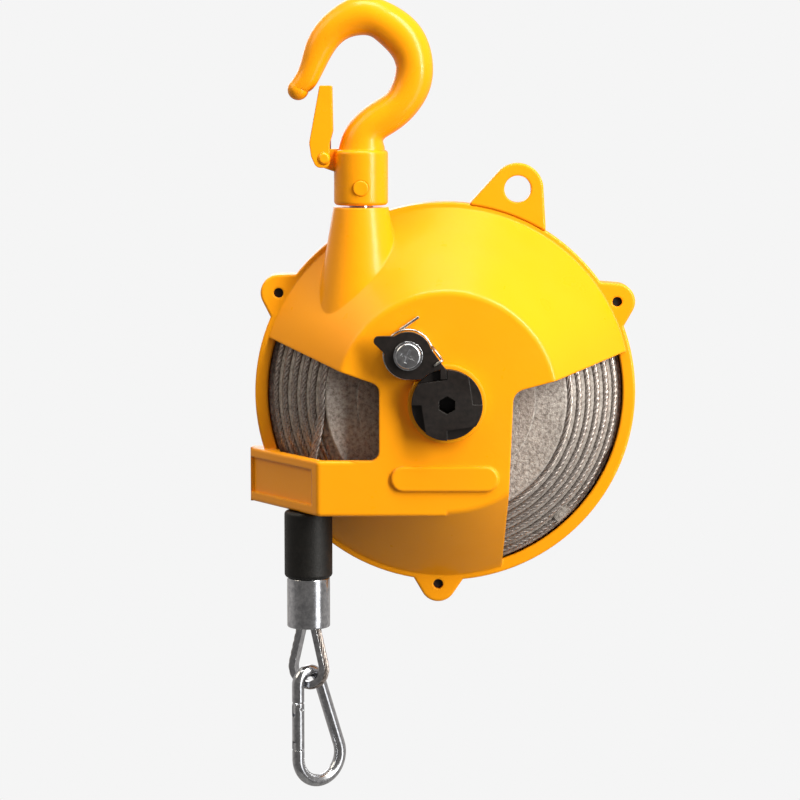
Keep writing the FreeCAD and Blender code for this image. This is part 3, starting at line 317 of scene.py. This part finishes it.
def frames(points, closed):
    """A centre line with a side and an up direction at each point, carried along without twisting."""
    count = len(points)
    result = []
    side = None
    for i, p in enumerate(points):
        before = points[i - 1] if (i > 0 or closed) else p
        after = points[(i + 1) % count] if (i < count - 1 or closed) else p
        along = (after - before).normalized()
        if side is None:
            guide = Vector((0, 1, 0)) if abs(along.y) < 0.9 else Vector((1, 0, 0))
            side = along.cross(guide).normalized()
        side = (side - along * side.dot(along)).normalized()
        result.append((p, side, along.cross(side)))
    return result


def strands(points, r, closed=False, sides=6, count=ROPE_STRANDS, core=True, lay=ROPE_PITCH, wire=STRAND_R):
    """Vertices and faces of strands laid round a core along the points of a centre line."""
    line = frames(points, closed)
    length = sum((points[i + 1] - points[i]).length for i in range(len(points) - 1))
    turns = length / (lay * MM)
    if closed:
        turns = round(turns)
    thick = wire * r * MM
    rings = [(r * MM * STRAND_REACH - thick, thick, k / count) for k in range(count)]
    if core:
        rings.append((0.0, thick * CORE_SWELL, 0.0))
    verts = []
    faces = []
    total = len(line)
    last = total if closed else total - 1
    for offset, radius, phase in rings:
        base = len(verts)
        for i, (p, side, up) in enumerate(line):
            a = 2.0 * math.pi * (phase + turns * i / last)
            centre = p + (side * math.cos(a) + up * math.sin(a)) * offset
            for k in range(sides):
                b = 2.0 * math.pi * k / sides
                verts.append(centre + (side * math.cos(b) + up * math.sin(b)) * radius)
        for i in range(last):
            j = (i + 1) % total
            for k in range(sides):
                m = (k + 1) % sides
                faces.append((base + i * sides + k, base + i * sides + m,
                              base + j * sides + m, base + j * sides + k))
        if not closed:
            faces.append(tuple(base + k for k in reversed(range(sides))))
            faces.append(tuple(base + (total - 1) * sides + k for k in range(sides)))
    return verts, faces


def ring_points(r, d, a0, a1, step):
    """Points round the drum's axis from angle a0 to a1, about one step apart."""
    count = max(8, int(abs(a1 - a0) / 360.0 * 2.0 * math.pi * r / step))
    return [
        at(r * math.cos(math.radians(a0 + (a1 - a0) * i / count)), d,
           r * math.sin(math.radians(a0 + (a1 - a0) * i / count)))
        for i in range(count + 1)
    ]


def smooth_run(a, a_dir, b, b_dir, step):
    """A cubic run from a to b that starts along a_dir and ends along b_dir."""
    reach = (b - a).length
    count = max(6, int(reach / (step * MM)))
    c1 = a + a_dir.normalized() * reach * 0.30
    c2 = b - b_dir.normalized() * reach * 0.30
    points = []
    for i in range(1, count + 1):
        t = i / count
        s = 1.0 - t
        points.append(a * s ** 3 + c1 * (3 * s * s * t) + c2 * (3 * s * t * t) + b * t ** 3)
    return points


def on_rope(x, z):
    """A place in the load end's own plane, which is turned about the rope."""
    a = math.radians(EYE_TURN)
    return at(ROPE_X, ROPE_D, z) + Vector((x * math.cos(a), x * math.sin(a), 0.0)) * MM


def eye_line():
    """Down one leg, round the thimble and up the other, as a belt round two circles runs."""
    top_z = SLEEVE_FOOT_Z + EYE_RISE
    tilt = math.asin((EYE_R - EYE_LEG) / (top_z - EYE_Z))

    def leg(side):
        top = (side * EYE_LEG * math.cos(tilt), top_z + EYE_LEG * math.sin(tilt))
        low = (side * EYE_R * math.cos(tilt), EYE_Z + EYE_R * math.sin(tilt))
        return [(top[0] + (low[0] - top[0]) * k / EYE_LEG_STEPS,
                 top[1] + (low[1] - top[1]) * k / EYE_LEG_STEPS) for k in range(EYE_LEG_STEPS + 1)]

    a0 = tilt
    a1 = -math.pi - tilt
    angles = [a0 + (a1 - a0) * k / EYE_ARC_STEPS for k in range(1, EYE_ARC_STEPS)]
    arc = [(EYE_R * math.cos(a), EYE_Z + EYE_R * math.sin(a)) for a in angles]
    return [on_rope(x, z) for x, z in leg(1) + arc + leg(-1)[::-1]]


down = Vector((0, 0, -1))
turn = ring_points(FIRST_TURN_R, FIRST_TURN_D, FIRST_TURN_FROM, FIRST_TURN_TO, ROPE_STEP)
straight_z = GUIDE_TOP_Z + GUIDE_LEAD
run = smooth_run(turn[-1], down, at(ROPE_X, ROPE_D, straight_z), down, ROPE_STEP)
drop = [at(ROPE_X, ROPE_D, straight_z - k) for k in range(1, GUIDE_RUN + 1)]
verts, faces = strands(turn + run + drop, ROPE_R)
new_piece("rope_run", verts, faces, "wire_rope", "housing", "cable_run")

verts, faces = [], []
for i in range(1, TURN_COUNT):
    ring = ring_points(FIRST_TURN_R + i * TURN_STEP_R, FIRST_TURN_D - i * TURN_STEP_D, 0.0, 360.0,
                       DRUM_ROPE_STEP)[:-1]
    v, f = strands(ring, DRUM_ROPE_R, closed=True, core=False, lay=DRUM_ROPE_PITCH, wire=DRUM_STRAND_R)
    faces += [tuple(k + len(verts) for k in face) for face in f]
    verts += v
new_piece("rope_on_drum", verts, faces, "wire_rope", "drum", "wound_cable")

tail_long = GUIDE_FOOT_Z - BUMPER_FOOT_Z + TAIL_OVERRUN
tail = [at(ROPE_X, ROPE_D, GUIDE_FOOT_Z - tail_long * k / TAIL_STEPS) for k in range(TAIL_STEPS + 1)]
verts, faces = strands(tail, ROPE_R)
rope_tail = new_piece("rope_tail", verts, faces, "wire_rope", None, "cable_tail")
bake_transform(rope_tail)

verts, faces = strands(eye_line(), ROPE_R, lay=EYE_PITCH)
new_piece("rope_eye", verts, faces, "wire_rope", "load_line", "cable_eye")


# ---- the pawl spring's end, along the lever's edge and hooked over its front ---------------------
spring_leg = [at(*p) for p in (
    (-7.6, 60.6, 29.3), (-5.2, 63.2, 26.3), (-3.0, 65.8, 23.6), (-2.5, 67.2, 22.9),
    (-2.6, 68.3, 22.8), (-3.3, 68.7, 22.4), (-4.4, 68.7, 21.7), (-6.6, 68.7, 20.2))]
verts, faces = strands(spring_leg, SPRING_WIRE_R, sides=SPRING_WIRE_SIDES, count=0, wire=1.0 / CORE_SWELL)
spring_hook = new_piece("spring_hook", verts, faces, "spring_wire", None)
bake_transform(spring_hook)


# ---- stage, light and camera --------------------------------------------------------------------
def ground(name, colour):
    """A pale ground that takes the object's shadow and fades into the backdrop towards its rim."""
    n = material(name)
    cloth = n.new("ShaderNodeBsdfDiffuse")
    tone = n.ramp(n.noise(3.0, 2.0), [(0.3, srgb(150, 150, 150)), (0.7, srgb(158, 158, 158))])
    n.give(cloth.inputs["Color"], tone)
    glow = n.new("ShaderNodeEmission")
    n.give(glow.inputs["Color"], colour)
    n.give(glow.inputs["Strength"], 1.0)
    flat = n.new("ShaderNodeVectorMath", operation="MULTIPLY")
    n.give(flat.inputs[0], n.where["Object"])
    n.give(flat.inputs[1], (1.0, 1.0, 0.0))
    away = n.new("ShaderNodeVectorMath", operation="LENGTH")
    n.give(away.inputs[0], flat.outputs["Vector"])
    fade = n.span(away.outputs["Value"], 0.3, 1.5, 0.92, 1.0)
    path = n.new("ShaderNodeLightPath").outputs
    seen = n.both("MULTIPLY", path["Is Camera Ray"], fade)
    n.mix_shaders(seen, cloth.outputs[0], glow.outputs[0])
    return n.owner


mesh = bpy.data.meshes.new("floor")
corners = [math.radians(360.0 * k / FLOOR_SIDES) for k in range(FLOOR_SIDES)]
mesh.from_pydata([(FLOOR_R * math.cos(a), FLOOR_R * math.sin(a), FLOOR_Z) for a in corners], [],
                 [tuple(range(FLOOR_SIDES))])
floor = bpy.data.objects.new("floor", mesh)
scene.collection.objects.link(floor)
mesh.materials.append(ground("floor_pale", PALE))

# The camera sees the pale backdrop.
# The object is lit by a room that darkens towards the camera and the ground.
n = Nodes(bpy.data.worlds.new("studio"), "ShaderNodeOutputWorld")
backdrop = n.new("ShaderNodeBackground")
n.give(backdrop.inputs["Color"], PALE)
n.give(backdrop.inputs["Strength"], 1.0)
room = n.new("ShaderNodeBackground")
n.give(room.inputs["Color"], (1.0, 0.95, 0.90, 1.0))
axes = n.new("ShaderNodeSeparateXYZ")
n.give(axes.inputs[0], n.where["Generated"])
deep = n.span(axes.outputs["Y"], -0.7, 0.6, ROOM_NEAR, ROOM_FAR, interpolation_type="SMOOTHSTEP")
above = n.span(axes.outputs["Z"], -0.9, 0.2, ROOM_LOW, 1.0)
n.give(room.inputs["Strength"], n.both("MULTIPLY", deep, above))
path = n.new("ShaderNodeLightPath").outputs
seen = n.both("MAXIMUM", path["Is Camera Ray"], path["Is Transmission Ray"])
n.mix_shaders(seen, room.outputs[0], backdrop.outputs[0])
scene.world = n.owner

middle = Vector((0.0202, 0.018, -0.1703))    # where the camera and the lamps point


def aim(obj, place):
    """Put the lamp or the camera at its place, turn it to the object's middle and add it to the scene."""
    obj.location = place
    obj.rotation_euler = (middle - Vector(place)).to_track_quat("-Z", "Y").to_euler()
    scene.collection.objects.link(obj)


def lamp(name, place, size, energy, colour=(1.0, 1.0, 1.0)):
    data = bpy.data.lights.new(name, "AREA")
    data.shape = "RECTANGLE"
    data.size = size[0]
    data.size_y = size[1]
    data.energy = energy
    data.color = colour
    aim(bpy.data.objects.new(name, data), place)


lamp("key", (1.12, -0.95, 0.68), (0.45, 1.9), 55.0, (1.0, 0.985, 0.92))
lamp("strip", (1.15, -0.85, -0.42), (0.55, 1.0), 4.0)
lamp("left", (-1.0, -0.25, 0.75), (0.8, 0.8), 6.0, (1.0, 0.90, 0.72))
lamp("top", (0.05, -0.25, 1.35), (0.9, 0.5), 17.0, (1.0, 0.96, 0.88))
lamp("back", (-0.5, 1.7, 0.5), (1.2, 1.2), 10.0)

camera_data = bpy.data.cameras.new("camera")
camera_data.sensor_width = CAMERA_SENSOR
camera_data.lens = CAMERA_LENS
camera = bpy.data.objects.new("camera", camera_data)
tilt = math.radians(CAMERA_TILT)
aim(camera, middle + Vector((0.0, -math.cos(tilt), math.sin(tilt))) * CAMERA_AWAY)
scene.camera = camera
scene.view_settings.view_transform = "Standard"
